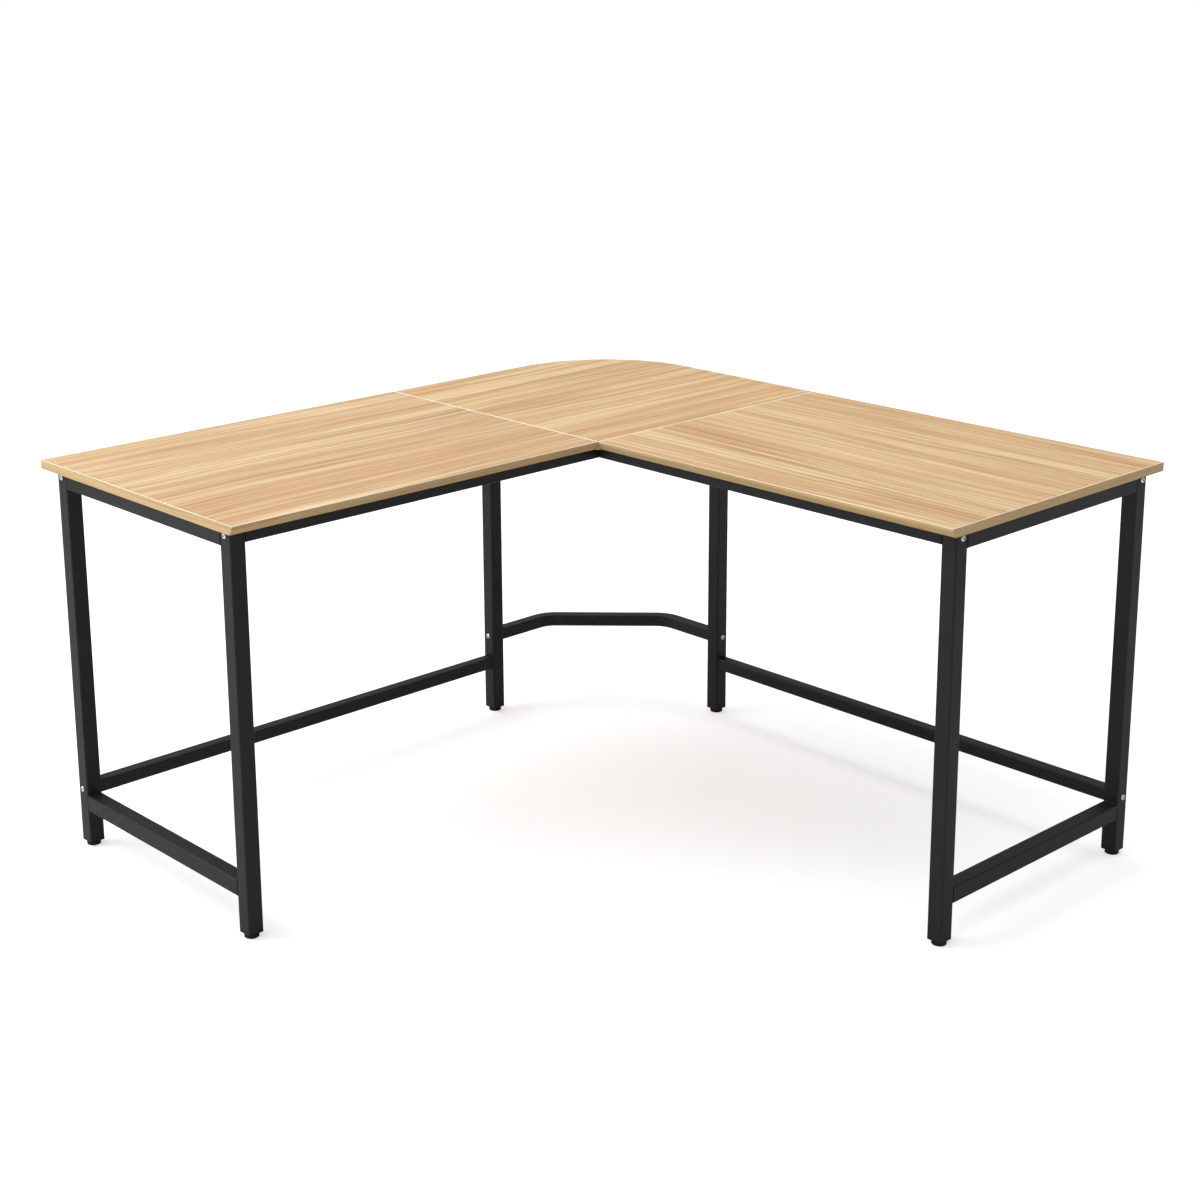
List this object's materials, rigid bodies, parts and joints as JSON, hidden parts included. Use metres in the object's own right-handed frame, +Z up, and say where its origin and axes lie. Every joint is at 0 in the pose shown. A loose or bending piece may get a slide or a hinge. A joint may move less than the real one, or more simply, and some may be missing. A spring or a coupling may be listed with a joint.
{
  "type": "corner desk",
  "caption": "Corner desk with wood-grain boards on a bolted square-tube steel frame with levelling feet.",
  "frame": {"origin": "on the floor under the centre of the desk's square footprint box", "axes": "+Z up; +X along the main wing away from the corner board; -Y along the side wing away from the corner board"},
  "size_m": [1.4, 1.4, 0.74],
  "materials": {
    "oak_board": "light natural oak laminate, satin, straight grain",
    "black_steel": "black powder coat, fine satin texture",
    "zinc_steel": "bright zinc plate",
    "black_plastic": "moulded black plastic, matt"
  },
  "bodies": {
    "desk": {"bolt_cross_to_cross": "zinc_steel", "bolt_cross_to_front": "zinc_steel", "bolt_inner_corner": "zinc_steel", "bolt_main_back_low": "zinc_steel", "bolt_main_back_top": "zinc_steel", "bolt_main_cross": "zinc_steel", "bolt_main_front_top": "zinc_steel", "bolt_main_inner_brace": "zinc_steel", "bolt_main_inner_low": "zinc_steel", "bolt_main_inner_top": "zinc_steel", "bolt_side_back_low": "zinc_steel", "bolt_side_back_top": "zinc_steel", "bolt_side_cross": "zinc_steel", "bolt_side_front_top": "zinc_steel", "bolt_side_inner_brace": "zinc_steel", "bolt_side_inner_low": "zinc_steel", "bolt_side_inner_top": "zinc_steel", "corner_board": "oak_board", "corner_brace": "black_steel", "leg_main_back": "black_steel", "leg_main_front": "black_steel", "leg_main_inner": "black_steel", "leg_plug_main_back": "black_plastic", "leg_plug_main_front": "black_plastic", "leg_plug_main_inner": "black_plastic", "leg_plug_side_back": "black_plastic", "leg_plug_side_front": "black_plastic", "leg_plug_side_inner": "black_plastic", "leg_side_back": "black_steel", "leg_side_front": "black_steel", "leg_side_inner": "black_steel", "main_back_rail": "black_steel", "main_cross_rail": "black_steel", "main_front_rail": "black_steel", "main_lower_end_rail": "black_steel", "main_seam_plate": "zinc_steel", "main_stretcher": "black_steel", "main_top_end_rail": "black_steel", "main_wing_board": "oak_board", "screw_corner": "zinc_steel", "screw_main_seam_corner": "zinc_steel", "screw_main_seam_wing": "zinc_steel", "screw_main_wing": "zinc_steel", "screw_side_seam_corner": "zinc_steel", "screw_side_seam_wing": "zinc_steel", "screw_side_wing": "zinc_steel", "side_back_rail": "black_steel", "side_cross_rail": "black_steel", "side_front_rail": "black_steel", "side_lower_end_rail": "black_steel", "side_seam_plate": "zinc_steel", "side_stretcher": "black_steel", "side_top_end_rail": "black_steel", "side_wing_board": "oak_board"},
    "foot_side_back": {"levelling_foot_side_back": "black_plastic"},
    "foot_side_front": {"levelling_foot_side_front": "black_plastic"},
    "foot_side_inner": {"levelling_foot_side_inner": "black_plastic"},
    "foot_main_inner": {"levelling_foot_main_inner": "black_plastic"},
    "foot_main_front": {"levelling_foot_main_front": "black_plastic"},
    "foot_main_back": {"levelling_foot_main_back": "black_plastic"}
  },
  "joints": [
    {"name": "foot_side_back_screw", "type": "slide", "parent": "desk", "child": "foot_side_back", "axis": [0, 0, -1], "range_m": [0, 0.01]},
    {"name": "foot_side_front_screw", "type": "slide", "parent": "desk", "child": "foot_side_front", "axis": [0, 0, -1], "range_m": [0, 0.01]},
    {"name": "foot_side_inner_screw", "type": "slide", "parent": "desk", "child": "foot_side_inner", "axis": [0, 0, -1], "range_m": [0, 0.01]},
    {"name": "foot_main_inner_screw", "type": "slide", "parent": "desk", "child": "foot_main_inner", "axis": [0, 0, -1], "range_m": [0, 0.01]},
    {"name": "foot_main_front_screw", "type": "slide", "parent": "desk", "child": "foot_main_front", "axis": [0, 0, -1], "range_m": [0, 0.01]},
    {"name": "foot_main_back_screw", "type": "slide", "parent": "desk", "child": "foot_main_back", "axis": [0, 0, -1], "range_m": [0, 0.01]}
  ]
}
